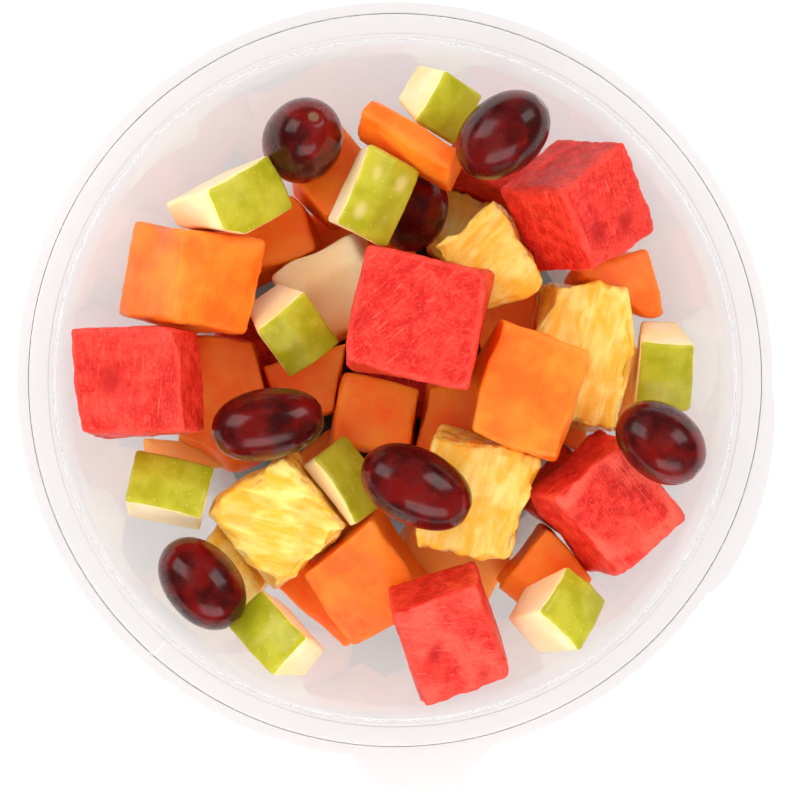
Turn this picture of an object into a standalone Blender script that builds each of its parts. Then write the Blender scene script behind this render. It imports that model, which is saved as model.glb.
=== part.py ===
"""A fruit salad in its clear round tub.

The tub stands on the origin with its round foot on z = 0 and its pull tab towards -Y.
Every chunk and grape is a closed solid of its own. Its place seen from above, its size
and its tilt are chosen, and its height is worked out: the pieces are laid one after the
other, from the lowest to the highest, and each one sinks straight down to the height
wanted for it, or until it meets the tub or a grape. A soft chunk below that is still in
its way is cut flat along the plane that costs it least, so all pieces lie a hair apart.

Lengths in the tables are millimetres and angles are degrees.
"""

import math

import bmesh
import bpy
import numpy as np
from mathutils import Matrix, Vector

MM = 0.001

# Tub
RIM_HEIGHT = 60.0
FLANGE_RADIUS = 85.0
LAND_OUTER_RADIUS = 82.4
LAND_INNER_RADIUS = 77.9
BEAD_RADIUS = 76.1
WALL_TOP_RADIUS = 74.6
SHELL = 0.7
FLANGE_DROP = 1.6
STEP_SLOPE = 0.6
GROOVE_DEPTH = 0.6
GROOVE_SLOPE = 0.4
BEAD_HEIGHT = 0.9
BEAD_FOOT = 1.1
BEAD_SHOULDER = 0.65
WALL_LEAN = 20.0
FOOT_CORNER_RADIUS = 12.0
CORNER_STEPS = 3
TURN_STEPS = 56

# Pull tab and the low lobe beside it, both on the flange
TAB_BASE_WIDTH = 32.0
TAB_TIP_WIDTH = 15.5
TAB_REACH = 8.3
TAB_CORNER = 2.0
TAB_AZIMUTH = -86.0
LOBE_START = -34.0
LOBE_END = -2.0
LOBE_REACH = 2.2
LOBE_STEPS = 10
LOBE_BLUNTNESS = 0.6
PLATE_OVERLAP = 1.2
PLATE_SKIN = 0.06

# Fruit
CLEARANCE = 0.35
LAUNCH_HEIGHT = 300.0
HIGHEST_KNIFE = 0.35
PARALLEL = 0.1
ON_CUBE_FACE = 0.99
NO_AREA = 1e-6
NO_CROSSING = 1e-9
WELD = 0.02

GRAPE_SIDES = 10
GRAPE_RINGS = 8
GRAPE_FULLNESS = 0.10
GRAPE_LOPSIDEDNESS = 0.05
SKIN_CROWN = 0.13

KINDS = {
    # kind: (edge rounding, unevenness of the corners, cuts across a face)
    "watermelon": (0.9, 1.0, 2),
    "cantaloupe": (0.9, 1.1, 2),
    "honeydew": (1.0, 1.0, 2),
    "pineapple": (0.9, 1.6, 2),
    "apple": (0.6, 0.5, 3),
}

# Each chunk: kind, middle of its upper face (x, y), size (across, along, deep), turn about
# its own depth, the way its upper face leans (towards, by how much) and how high its upper
# face should lie. The optional last pair narrows the chunk's foot (across, along).
# A grape: middle (x, y), (thickness, length), the way its long axis points and its climb.
BOTTOM_LAYER = [
    ("watermelon", 2, 3, (24, 24, 18), 12, (0, 0), 19),
    ("cantaloupe", 29, 7, (22, 23, 18), 8, (0, 0), 19),
    ("pineapple", 13, -26, (24, 20, 17), -20, (0, 0), 18),
    ("honeydew", -17, -26, (22, 22, 18), 40, (0, 0), 19),
    ("watermelon", -31, 7, (24, 23, 18), -6, (0, 0), 19),
    ("cantaloupe", -9, 32, (24, 21, 18), 20, (0, 0), 19),
    ("honeydew", 21, 33, (21, 20, 17), -35, (0, 0), 18),
]

MIDDLE_LAYER = [
    ("cantaloupe", 12.8, -9, (18, 17, 19), 5, (0, 0), 36),
    ("honeydew", 13.5, -43.8, (24, 17, 20), -28, (-60, 8), 33),
    ("cantaloupe", -17, -51, (22, 10, 18), -40, (-120, 14), 33),
    ("cantaloupe", 31.5, -42, (25, 18, 20), -38, (-50, 14), 36),
    ("honeydew", -51, -13, (16, 15, 20), 10, (180, 16), 38),
    ("cantaloupe", 42, -13, (18, 17, 19), 40, (0, 10), 36),
    ("cantaloupe", 27, 19, (20, 20, 19), 15, (0, 0), 38),
    ("pineapple", 16, 38, (19, 16, 18), 40, (60, 6), 32),
    ("watermelon", -52, 3, (15, 20, 22), 8, (180, 18), 42),
    ("watermelon", 45, -30, (20, 17, 20), -35, (-35, 16), 36),
    ("pineapple", -36, -41, (20, 17, 20), 50, (-130, 16), 35),
    ("watermelon", 23, 52, (18, 15, 22), -22, (68, 18), 40),
    ("honeydew", 54, -2, (14, 19, 18), 0, (0, 18), 32),
    ("honeydew", -47, 24, (15, 18, 20), 60, (150, 18), 34),
    ("grape", 4, 39, (17, 20), (75, 26)),
    ("cantaloupe", -33, 34, (26, 16, 19), 12, (130, 14), 36),
    ("cantaloupe", -14, 48, (16, 15, 20), 42, (100, 10), 40),
    ("cantaloupe", 4.5, 57.5, (24, 9, 20), -32, (80, 20), 43),
    ("cantaloupe", -36, -2, (24, 23, 22), -8, (90, 6), 40),
    ("cantaloupe", -19, 0, (20, 17, 20), 15, (0, 0), 36),
    ("honeydew", -15.7, 20, (21, 20, 20), 30, (200, 10), 41),
    ("cantaloupe", 54.5, 20, (21, 17, 20), -66, (20, 18), 42),
    ("cantaloupe", -3.8, -8, (18, 16, 20), -10, (60, 4), 40),
]

UPPER_LAYER = [
    ("grape", -20.9, 54.4, (18.9, 24), (60, 62)),
    ("cantaloupe", -7.4, -47, (20, 24, 22), 30, (-110, 14), 50),
    ("apple", -29.5, -56.0, (17, 13, 15), -43, (150, 32), 52, (0.1, 0.35)),
    ("apple", 41.6, -50.8, (13.5, 15, 17), -39, (20, 40), 52, (0.1, 0.3)),
    ("apple", 61.3, -0.5, (13, 17, 17), -3, (-80, 24), 50, (0.3, 0.1)),
    ("apple", 13.3, 60.6, (13, 13, 14), -30, (-35, 36), 54, (0.1, 0.3)),
    ("apple", -50.8, -22.5, (18, 13.5, 16), -12, (80, 24), 53, (0.1, 0.3)),
    ("apple", -21.3, 9.4, (15.5, 14, 16), -53, (-45, 30), 53, (0.1, 0.3)),
    ("apple", -8.6, -21.6, (18, 13.5, 15), -56, (30, 45), 52, (0.1, 0.3)),
    ("pineapple", 22.1, 29.1, (20, 20, 16), 43, (-60, 8), 53, (0.3, 0.3)),
    ("pineapple", 43.8, 6.3, (19, 33, 20), -4, (10, 8), 51),
    ("pineapple", -27.6, -32.6, (22, 23, 19), -50, (-130, 8), 54),
    ("pineapple", 19.0, -27.2, (25, 25, 19), -13, (-90, 6), 54),
    ("watermelon", 48.2, 38.2, (21, 22.6, 22), 33, (-8, 40), 54),
    ("watermelon", 51.4, -29.2, (22, 24, 20), 40, (-20, 20), 53),
    ("watermelon", 12.6, -60.0, (21.5, 23.5, 20), 18, (-74, 18), 59),
    ("watermelon", -60.5, 0, (25.5, 24, 17), 4.5, (180, 16), 61),
    ("apple", -31.2, 40.9, (20, 13.5, 21), 28, (5, 38), 58, (0.1, 0.3)),
    ("cantaloupe", -39.7, 22, (21, 22, 24), -10, (-8, 35), 56),
    ("apple", -2.7, 40.9, (13.5, 19.5, 16), -24, (-15, 20), 63, (0.3, 0.1)),
    ("cantaloupe", 29.6, -2.7, (21.5, 25.5, 17), -19, (180, 3), 67),
    ("watermelon", 4.4, 13.8, (28.0, 27.2, 20), -10.5, (170, 4), 75),
    ("grape", 24.0, 54.4, (18, 24), (40, 12)),
    ("grape", -28.5, -9.9, (17.1, 26.5), (10, 0)),
    ("grape", 4.9, -24, (18, 27.4), (-27, 0)),
    ("grape", 59.1, -13.9, (17.5, 22.5), (-38, 8)),
    ("grape", -43.6, -45.8, (17.5, 24), (-50, 6)),
]

COLOURS = {
    "tub": ((0.86, 0.88, 0.89), 0.12),
    "watermelon": ((0.80, 0.05, 0.04), 0.35),
    "cantaloupe": ((0.95, 0.26, 0.04), 0.38),
    "honeydew": ((0.88, 0.72, 0.42), 0.38),
    "pineapple": ((0.95, 0.62, 0.14), 0.40),
    "apple": ((0.58, 0.62, 0.06), 0.30),
    "grape": ((0.14, 0.01, 0.02), 0.25),
}


# ---------------------------------------------------------------- small helpers

def clear_scene():
    for obj in list(bpy.data.objects):
        bpy.data.objects.remove(obj, do_unlink=True)
    for collection in list(bpy.data.collections):
        bpy.data.collections.remove(collection)


def make_collection(name):
    collection = bpy.data.collections.new(name)
    bpy.context.scene.collection.children.link(collection)
    return collection


def make_material(name, colour, roughness):
    material = bpy.data.materials.new(name)
    material.use_nodes = True
    shader = material.node_tree.nodes["Principled BSDF"]
    shader.inputs["Base Color"].default_value = (*colour, 1.0)
    shader.inputs["Roughness"].default_value = roughness
    shader.inputs["Metallic"].default_value = 0.0
    material.diffuse_color = (*colour, 1.0)
    return material


def add_object(name, mesh, collection, material=None):
    obj = bpy.data.objects.new(name, mesh)
    collection.objects.link(obj)
    if material:
        mesh.materials.append(material)
    return obj


# ---------------------------------------------------------------- tub

def corner_arc():
    """The rounded corner between the floor and the wall, from the wall down, inside face."""
    lean = math.radians(WALL_LEAN)
    wall_foot_height = SHELL + FOOT_CORNER_RADIUS * (1 - math.sin(lean))
    wall_foot_radius = WALL_TOP_RADIUS - (RIM_HEIGHT - wall_foot_height) * math.tan(lean)
    centre_radius = wall_foot_radius - FOOT_CORNER_RADIUS * math.cos(lean)
    points = []
    for step in range(CORNER_STEPS + 1):
        angle = lean + (math.pi / 2 - lean) * step / CORNER_STEPS
        points.append((centre_radius + FOOT_CORNER_RADIUS * math.cos(angle),
                       SHELL + FOOT_CORNER_RADIUS * (1 - math.sin(angle))))
    return points


def inside_profile():
    """The food side of the tub from the edge of the flange to the middle of the floor."""
    top = RIM_HEIGHT
    low = top - FLANGE_DROP
    rim = [
        (FLANGE_RADIUS, low),
        (LAND_OUTER_RADIUS + STEP_SLOPE, low),
        (LAND_OUTER_RADIUS, top),
        (LAND_INNER_RADIUS, top),
        (LAND_INNER_RADIUS - GROOVE_SLOPE, top - GROOVE_DEPTH),
        (BEAD_RADIUS + BEAD_FOOT, top - GROOVE_DEPTH),
        (BEAD_RADIUS + BEAD_SHOULDER, top + BEAD_HEIGHT / 2),
        (BEAD_RADIUS, top + BEAD_HEIGHT),
        (BEAD_RADIUS - BEAD_SHOULDER, top + BEAD_HEIGHT / 2),
        (WALL_TOP_RADIUS, top),
    ]
    return rim + corner_arc() + [(0.0, SHELL)]


def height_of_wall(radius):
    """How high the inside of the tub stands at a distance from its axis."""
    arc = corner_arc()
    radius = radius / math.cos(math.pi / TURN_STEPS)
    floor_radius = arc[-1][0]
    wall_foot_radius, wall_foot_height = arc[0]
    if radius <= floor_radius:
        return SHELL
    if radius <= wall_foot_radius:
        for outer, inner in zip(arc, arc[1:]):
            if inner[0] <= radius <= outer[0]:
                share = (radius - inner[0]) / (outer[0] - inner[0])
                return inner[1] + share * (outer[1] - inner[1])
    if radius > WALL_TOP_RADIUS:
        raise ValueError("a piece of fruit reaches over the rim")
    return wall_foot_height + (radius - wall_foot_radius) / math.tan(math.radians(WALL_LEAN))


def turned_tub(collection, material):
    mesh = bpy.data.meshes.new("tub")
    points = [(radius * MM, 0.0, height * MM) for radius, height in inside_profile()]
    mesh.from_pydata(points, [(i, i + 1) for i in range(len(points) - 1)], [])
    tub = add_object("tub", mesh, collection, material)
    screw = tub.modifiers.new("turn", "SCREW")
    screw.steps = screw.render_steps = TURN_STEPS
    screw.use_merge_vertices = True
    screw.merge_threshold = 0.00001
    screw.use_smooth_shade = True
    shell = tub.modifiers.new("shell", "SOLIDIFY")
    shell.thickness = SHELL * MM
    shell.offset = 1.0
    return tub


def flange_plate(name, outline, collection):
    """A thin plate in the layer of the flange, as a closed mesh."""
    curve = bpy.data.curves.new(name, "CURVE")
    curve.dimensions = "2D"
    curve.fill_mode = "BOTH"
    curve.extrude = (SHELL / 2 - PLATE_SKIN) * MM
    spline = curve.splines.new("POLY")
    spline.points.add(len(outline) - 1)
    for point, (x, y) in zip(spline.points, outline):
        point.co = (x * MM, y * MM, 0.0, 1.0)
    spline.use_cyclic_u = True
    guide = add_object(name + "_outline", curve, collection)
    guide.location.z = (RIM_HEIGHT - FLANGE_DROP - SHELL / 2) * MM
    bpy.context.view_layer.update()
    mesh = bpy.data.meshes.new_from_object(guide.evaluated_get(bpy.context.evaluated_depsgraph_get()))
    form = bmesh.new()
    form.from_mesh(mesh)
    bmesh.ops.remove_doubles(form, verts=form.verts, dist=0.000001)
    bmesh.ops.recalc_face_normals(form, faces=form.faces)
    form.to_mesh(mesh)
    form.free()
    plate = add_object(name, mesh, collection)
    plate.matrix_world = guide.matrix_world.copy()
    bpy.data.objects.remove(guide)
    plate.hide_render = True
    plate.display_type = "WIRE"
    return plate


def tab_outline():
    """The pull tab: straight sides at a slant, and a flat tip with rounded corners."""
    inner = FLANGE_RADIUS - PLATE_OVERLAP
    tip = FLANGE_RADIUS + TAB_REACH
    half_base, half_tip = TAB_BASE_WIDTH / 2, TAB_TIP_WIDTH / 2
    side = [
        (inner, half_base - PLATE_OVERLAP),
        (math.sqrt(FLANGE_RADIUS ** 2 - half_base ** 2), half_base),
        (tip - TAB_CORNER, half_tip + TAB_CORNER),
        (tip - TAB_CORNER / 3, half_tip + TAB_CORNER / 3),
        (tip, half_tip - TAB_CORNER / 2),
    ]
    points = side + [(reach, -half) for reach, half in reversed(side)]
    return turn_outline(points, TAB_AZIMUTH)


def lobe_outline():
    """A low crescent outside the flange, blunt at its first end and fading at its last."""
    hidden = FLANGE_RADIUS - PLATE_OVERLAP
    start = FLANGE_RADIUS - PLATE_OVERLAP / 3
    outer, inner = [], []
    for step in range(LOBE_STEPS + 1):
        share = step / LOBE_STEPS
        angle = math.radians(LOBE_START + share * (LOBE_END - LOBE_START))
        swell = abs(math.sin(math.pi * share ** LOBE_BLUNTNESS)) ** LOBE_BLUNTNESS
        radius = start + (FLANGE_RADIUS + LOBE_REACH - start) * swell
        outer.append((radius * math.cos(angle), radius * math.sin(angle)))
        inner.append((hidden * math.cos(angle), hidden * math.sin(angle)))
    return outer + inner[::-1]


def turn_outline(points, azimuth):
    cosine, sine = math.cos(math.radians(azimuth)), math.sin(math.radians(azimuth))
    return [(x * cosine - y * sine, x * sine + y * cosine) for x, y in points]


def build_tub(parts, cutters, material):
    tub = turned_tub(parts, material)
    for name, outline in (("pull_tab", tab_outline()), ("lobe", lobe_outline())):
        join = tub.modifiers.new(name, "BOOLEAN")
        join.operation = "UNION"
        join.object = flange_plate(name, outline, cutters)
    return tub


# ---------------------------------------------------------------- fruit shapes

def corner_shifts(seed, unevenness):
    """A small shift for each of the eight corners of a hand-cut chunk."""
    shifts = np.random.default_rng(seed).uniform(-1.0, 1.0, (2, 2, 2, 3))
    return shifts * unevenness


def chunk_form(kind, size, foot, seed):
    """A knife-cut chunk about its own middle, its upper face towards +Z, in millimetres."""
    rounding, unevenness, cuts = KINDS[kind]
    half = [length / 2 for length in size]
    shifts = corner_shifts(seed, unevenness)
    inner_line = (cuts - 1) / (cuts + 1)
    retreat = {1: 0.0, 2: 1 - math.sqrt(1 / 2), 3: 1 - math.sqrt(1 / 3)}
    crown = SKIN_CROWN * size[1] if kind == "apple" else 0.0

    form = bmesh.new()
    bmesh.ops.create_cube(form, size=2.0)
    bmesh.ops.subdivide_edges(form, edges=form.edges, cuts=cuts, use_grid_fill=True)
    for vertex in form.verts:
        outside = sum(abs(value) > ON_CUBE_FACE for value in vertex.co)
        spot = []
        for value, reach in zip(vertex.co, half):
            if abs(value) > ON_CUBE_FACE:
                spot.append(math.copysign(reach - retreat[outside] * rounding, value))
            else:
                spot.append(value / inner_line * (reach - rounding))
        share = [(value / reach + 1) / 2 for value, reach in zip(spot, half)]
        narrowing = 1 - share[2]
        spread = (spot[0] / half[0]) ** 2 + (spot[1] / half[1]) ** 2
        spot[0] *= 1 - foot[0] * narrowing
        spot[1] *= 1 - foot[1] * narrowing
        spot[2] -= crown * spread * share[2] / 2
        for i in (0, 1):
            for j in (0, 1):
                for k in (0, 1):
                    weight = 1.0
                    for part, pick in zip(share, (i, j, k)):
                        weight *= part if pick else 1 - part
                    for axis in range(3):
                        spot[axis] += weight * shifts[i, j, k, axis]
        vertex.co = spot
    return form


def grape_form(thickness, length, seed):
    """A plump grape about its own middle, its long axis along Z, in millimetres."""
    form = bmesh.new()
    bmesh.ops.create_uvsphere(form, u_segments=GRAPE_SIDES, v_segments=GRAPE_RINGS, radius=1.0)
    lopsided = np.random.default_rng(seed).uniform(-GRAPE_LOPSIDEDNESS, GRAPE_LOPSIDEDNESS)
    for vertex in form.verts:
        level = vertex.co.z
        girth = 1 + GRAPE_FULLNESS * (1 - level ** 2) * level ** 2 + lopsided * level
        vertex.co.x *= thickness / 2 * girth
        vertex.co.y *= thickness / 2 * girth
        vertex.co.z *= length / 2
    return form


def leaning_turn(turn, towards, lean):
    """Turn about Z, then tip so that +Z leans towards an azimuth."""
    azimuth = math.radians(towards)
    axis = Vector((-math.sin(azimuth), math.cos(azimuth), 0.0))
    return Matrix.Rotation(math.radians(lean), 3, axis) @ Matrix.Rotation(math.radians(turn), 3, "Z")


# ---------------------------------------------------------------- laying the fruit

class Piece:
    """One piece of fruit in millimetres: its form, its own axes, and its triangles as arrays."""

    def __init__(self, kind, form, rotation):
        self.kind = kind
        self.form = form
        self.axes = [rotation.col[i].copy() for i in range(3)]
        self.refresh()

    def refresh(self):
        self.form.verts.index_update()
        self.points = np.array([vertex.co[:] for vertex in self.form.verts])
        triangles = [[loop.vert.index for loop in loops] for loops in self.form.calc_loop_triangles()]
        self.triangles = np.array(triangles)
        sides = np.sort(self.triangles[:, [0, 1, 1, 2, 2, 0]].reshape(-1, 2), axis=1)
        self.edges = np.unique(sides, axis=0)

    def lift(self, height):
        bmesh.ops.translate(self.form, vec=(0.0, 0.0, height), verts=self.form.verts)
        self.points[:, 2] += height

    def box(self):
        return self.points.min(axis=0), self.points.max(axis=0)


def heights_under(points, piece):
    """Pairs of heights: each point, and each triangle of the piece in line with it."""
    a, b, c = (piece.points[piece.triangles[:, i]] for i in range(3))
    side_ab, side_ac = b - a, c - a
    area = side_ab[:, 0] * side_ac[:, 1] - side_ab[:, 1] * side_ac[:, 0]
    seen = np.abs(area) > NO_AREA
    a, side_ab, side_ac, area = a[seen], side_ab[seen], side_ac[seen], area[seen]
    reach = points[:, None, :2] - a[None, :, :2]
    u = (reach[..., 0] * side_ac[:, 1] - reach[..., 1] * side_ac[:, 0]) / area
    v = (reach[..., 1] * side_ab[:, 0] - reach[..., 0] * side_ab[:, 1]) / area
    inside = (u >= 0) & (v >= 0) & (u + v <= 1)
    height = a[:, 2] + u * side_ab[:, 2] + v * side_ac[:, 2]
    own = np.broadcast_to(points[:, None, 2], height.shape)
    return own[inside], height[inside]


def edge_heights(upper, lower):
    """Heights on both pieces wherever two of their edges cross, seen from above."""
    start_a, end_a = (upper.points[upper.edges[:, i]][:, None, :] for i in (0, 1))
    start_b, end_b = (lower.points[lower.edges[:, i]][None, :, :] for i in (0, 1))
    along_a, along_b, offset = end_a - start_a, end_b - start_b, start_b - start_a
    cross = along_a[..., 0] * along_b[..., 1] - along_a[..., 1] * along_b[..., 0]
    meeting = np.abs(cross) > NO_CROSSING
    safe = np.where(meeting, cross, np.inf)
    s = (offset[..., 0] * along_b[..., 1] - offset[..., 1] * along_b[..., 0]) / safe
    t = (offset[..., 0] * along_a[..., 1] - offset[..., 1] * along_a[..., 0]) / safe
    crossing = (s >= 0) & (s <= 1) & (t >= 0) & (t <= 1) & meeting
    height_a = start_a[..., 2] + s * along_a[..., 2]
    height_b = start_b[..., 2] + t * along_b[..., 2]
    return height_a[crossing], height_b[crossing]


def free_fall(upper, lower):
    """How far the upper piece can sink before it meets the lower one."""
    (low_a, high_a), (low_b, high_b) = upper.box(), lower.box()
    if (low_a[:2] > high_b[:2]).any() or (low_b[:2] > high_a[:2]).any():
        return math.inf
    gaps = [math.inf]
    own, other = heights_under(upper.points, lower)
    gaps.extend(own - other)
    own, other = heights_under(lower.points, upper)
    gaps.extend(other - own)
    own, other = edge_heights(upper, lower)
    gaps.extend(own - other)
    return min(gaps)


def separating_directions(upper, lower):
    """Directions from the upper piece to the lower one along which a knife could part them."""
    directions = [-upper.axes[2], Vector((0.0, 0.0, -1.0))]
    for axis in upper.axes[:2] + lower.axes:
        directions += [axis, -axis]
    for own in upper.axes:
        for other in lower.axes:
            cross = own.cross(other)
            if cross.length > PARALLEL:
                directions += [cross.normalized(), -cross.normalized()]
    return [direction for direction in directions if direction.z < HIGHEST_KNIFE]


def cut_off(form, direction, distance):
    """Keep only what lies beyond a plane, and close the cut."""
    geometry = form.verts[:] + form.edges[:] + form.faces[:]
    bmesh.ops.bisect_plane(form, geom=geometry, dist=WELD, plane_co=direction * distance,
                           plane_no=direction, clear_inner=True)
    open_edges = [edge for edge in form.edges if edge.is_boundary]
    bmesh.ops.holes_fill(form, edges=open_edges, sides=0)
    bmesh.ops.remove_doubles(form, verts=form.verts, dist=WELD)
    bmesh.ops.recalc_face_normals(form, faces=form.faces)


def nestle(upper, lower):
    """Cut the lower chunk flat where the upper one sinks into it, losing as little as can be."""
    (low_a, high_a), (low_b, high_b) = upper.box(), lower.box()
    if (low_a > high_b + CLEARANCE).any() or (low_b > high_a + CLEARANCE).any():
        return
    best_volume, best_form = 0.0, None
    for direction in separating_directions(upper, lower):
        distance = (upper.points @ np.array(direction)).max() + CLEARANCE
        if (lower.points @ np.array(direction)).min() >= distance:
            return
        form = lower.form.copy()
        cut_off(form, direction, distance)
        volume = form.calc_volume() if len(form.faces) > 3 else 0.0
        if volume > best_volume:
            best_volume, best_form = volume, form
    lower.form = best_form
    lower.refresh()


def place_form(form, row, depth):
    """Tilt a form and set it over the spot that its row names, high above the tub."""
    if row[0] == "grape":
        _, x, y, _, (azimuth, climb) = row
        rotation = leaning_turn(0.0, azimuth, 90.0 - climb)
        middle = Vector((x, y, 0.0))
    else:
        x, y, _, turn, (towards, lean) = row[1:6]
        rotation = leaning_turn(turn, towards, lean)
        middle = Vector((x, y, 0.0)) - rotation @ Vector((0.0, 0.0, depth / 2))
    middle.z += LAUNCH_HEIGHT
    bmesh.ops.transform(form, matrix=Matrix.Translation(middle) @ rotation.to_4x4(), verts=form.verts)
    return rotation


def lay_grape(row, seed, laid):
    """Lay a grape on whatever is below it."""
    form = grape_form(*row[3], seed)
    piece = Piece("grape", form, place_form(form, row, 0.0))
    fall = min(z - height_of_wall(math.hypot(x, y)) for x, y, z in piece.points)
    piece.lift(CLEARANCE - min([fall] + [free_fall(piece, below) for below in laid]))
    return piece


def lay_chunk(row, seed, laid):
    """Lay a chunk with its upper face no higher than wanted, among the chunks below it."""
    kind, _, _, size, _, _, wanted_top = row[:7]
    foot = row[7] if len(row) > 7 else (0.0, 0.0)
    form = chunk_form(kind, size, foot, seed)
    piece = Piece(kind, form, place_form(form, row, size[2]))
    onto_tub = min(z - height_of_wall(math.hypot(x, y)) for x, y, z in piece.points)
    onto_grapes = min([onto_tub] + [free_fall(piece, below) for below in laid if below.kind == "grape"])
    onto_fruit = min([onto_grapes] + [free_fall(piece, below) for below in laid])
    fall = min(max(onto_fruit, LAUNCH_HEIGHT - wanted_top), onto_grapes)
    piece.lift(CLEARANCE - fall)
    for below in laid:
        if below.kind != "grape":
            nestle(piece, below)
    return piece


def build_fruit(parts, materials):
    laid = []
    for seed, row in enumerate(BOTTOM_LAYER + MIDDLE_LAYER + UPPER_LAYER):
        lay = lay_grape if row[0] == "grape" else lay_chunk
        laid.append(lay(row, seed, laid))
    counts = {}
    for piece in laid:
        kind = piece.kind
        counts[kind] = counts.get(kind, 0) + 1
        bmesh.ops.scale(piece.form, vec=(MM, MM, MM), verts=piece.form.verts)
        mesh = bpy.data.meshes.new(f"{kind}_{counts[kind]}")
        piece.form.to_mesh(mesh)
        piece.form.free()
        if kind == "grape":
            mesh.shade_smooth()
        add_object(mesh.name, mesh, parts, materials[kind])


def main():
    clear_scene()
    parts = make_collection("fruit_salad")
    cutters = make_collection("cutters")
    materials = {name: make_material(name, *look) for name, look in COLOURS.items()}
    build_tub(parts, cutters, materials["tub"])
    build_fruit(parts, materials)


main()
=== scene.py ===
"""Looks for the fruit salad in its clear tub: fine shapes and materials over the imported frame."""

import math

import bmesh
import bpy
import numpy as np
from mathutils import Matrix, Vector


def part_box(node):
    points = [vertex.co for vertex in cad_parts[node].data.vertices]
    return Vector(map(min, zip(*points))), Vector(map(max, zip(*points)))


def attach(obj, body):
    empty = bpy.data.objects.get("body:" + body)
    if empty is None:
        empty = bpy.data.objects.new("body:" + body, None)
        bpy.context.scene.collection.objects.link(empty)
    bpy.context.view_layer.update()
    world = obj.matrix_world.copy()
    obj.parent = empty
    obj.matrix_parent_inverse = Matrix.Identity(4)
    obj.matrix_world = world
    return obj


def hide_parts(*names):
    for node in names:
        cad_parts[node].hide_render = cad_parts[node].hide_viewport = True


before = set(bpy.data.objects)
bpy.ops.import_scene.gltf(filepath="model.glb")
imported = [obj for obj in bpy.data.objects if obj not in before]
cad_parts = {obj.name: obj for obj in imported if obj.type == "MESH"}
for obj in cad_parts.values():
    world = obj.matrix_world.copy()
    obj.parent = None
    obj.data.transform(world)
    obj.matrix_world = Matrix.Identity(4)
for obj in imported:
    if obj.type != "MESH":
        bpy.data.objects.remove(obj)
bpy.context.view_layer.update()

MM = 0.001


# ------------------------------------------------------------------ sizes of the tub
# Millimetres and degrees. An azimuth is 0 along +X and grows anticlockwise seen from above.

FLANGE_RADIUS = 85.0
LAND_OUTER_RADIUS = 82.4
LAND_INNER_RADIUS = 77.9
BEAD_RADIUS = 76.1
WALL_TOP_RADIUS = 74.6
RIM_HEIGHT = 60.0
FLANGE_DROP = 1.6
STEP_WIDTH = 0.6
FLANGE_INNER_RADIUS = LAND_OUTER_RADIUS + 1.0
GROOVE_DEPTH = 0.6
GROOVE_SIDE = 0.4
BEAD_HEIGHT = 0.9
BEAD_HALF_FOOT = 1.1
BEAD_HALF_TOP = 0.65
MOUTH_DROP = 0.4
RIM_CORNER_RADIUS = 0.45
WALL_LEAN = 20.0
FOOT_CORNER_RADIUS = 12.0
SHELL = 0.55
RIM_SHELL = 0.30
FLOOR_THICKNESS = 0.7
TAB_BASE_WIDTH = 32.0
TAB_TIP_WIDTH = 15.5
TAB_REACH = 8.0
TAB_AZIMUTH = -86.0
LOBE_START = -34.0
LOBE_END = -2.0
LOBE_REACH = 2.1
TAB_CORNER_SOFTNESS = 0.25
SCORE_AZIMUTH = -131.6
SCORE_DEPTH = 0.45
SCORE_HALF_WIDTH = 0.3

# Rings of points down the tub, and the turn from one line of points to the next, in degrees.
FLANGE_RINGS = 3
RIM_CORNER_STEPS = 3
WALL_STEPS = 10
FOOT_STEPS = 10
FLOOR_RINGS = (0.66, 0.33, 0.1)
PLAIN_TURN = 1.875
TAB_TURN = 0.4
LOBE_TURN = 0.6
SCORE_TURN = 0.2
LEAST_TURN = 0.15
SHARP_ANGLE = 50


# ------------------------------------------------------------------ looks of single pieces

# The way each apple chunk's skin faces: azimuth and lean from straight up, in degrees.
SKIN_FACING = {
    "apple_1": (150, 32),
    "apple_2": (20, 40),
    "apple_3": (-80, 24),
    "apple_4": (-35, 36),
    "apple_5": (80, 24),
    "apple_6": (-45, 30),
    "apple_7": (30, 45),
    "apple_8": (5, 38),
    "apple_9": (-15, 20),
}

# The way each grape's long axis points: azimuth and climb, in degrees.
GRAPE_AXIS = {
    "grape_1": (75, 26),
    "grape_2": (60, 62),
    "grape_3": (40, 12),
    "grape_4": (10, 0),
    "grape_5": (-27, 0),
    "grape_6": (-38, 8),
    "grape_7": (-50, 6),
}

# Seed hollows in the melon: place from above in mm, length, width, azimuth, depth.
SEED_HOLLOWS = {
    "watermelon_6": [(46, 33, 7, 4.5, 75, 1.0), (52.5, 36, 6, 4, 60, 0.9), (49, 41, 4, 3, 20, 0.5)],
    "watermelon_9": [(-64, 0, 10, 6, 80, 0.9), (-50, -4, 7, 4, 60, 0.6)],
    "watermelon_7": [(38, -25, 4, 2.5, 45, 0.7), (41, -31, 4, 2.5, 50, 0.7), (47, -20, 5, 3, 10, 0.5)],
    "watermelon_8": [(9, -62, 7, 4, 70, 0.8), (20, -66, 6, 4, 80, 0.7), (14, -70, 4, 2.5, 90, 0.5)],
    "watermelon_10": [(-5, 9, 5, 3, 60, 0.25)],
}

# How much lighter flesh a melon chunk shows on its upward faces, from 0 to 1: partly its own watery
# flesh, partly painted light on the tops.
PALE_AND_TOP_LIT_MELON = {"watermelon_7": 1.0, "watermelon_8": 0.65, "watermelon_9": 0.3, "watermelon_6": 0.2}

# How much painted warm shade a honeydew chunk gets, for the orange light bounced between the chunks
# low in the heap: 0 is plain flesh, 1 the warmest.
HONEYDEW_WARM_SHADE = {"honeydew_3": 0.45, "honeydew_4": 0.9, "honeydew_6": 0.6}

# Extra turn of the grain about a piece's own upper face, in degrees.
GRAIN_TURN = {"watermelon_10": 140, "watermelon_9": 85, "watermelon_8": 70, "pineapple_7": 85,
              "pineapple_6": 30, "pineapple_5": 80, "pineapple_4": 20}

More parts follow.
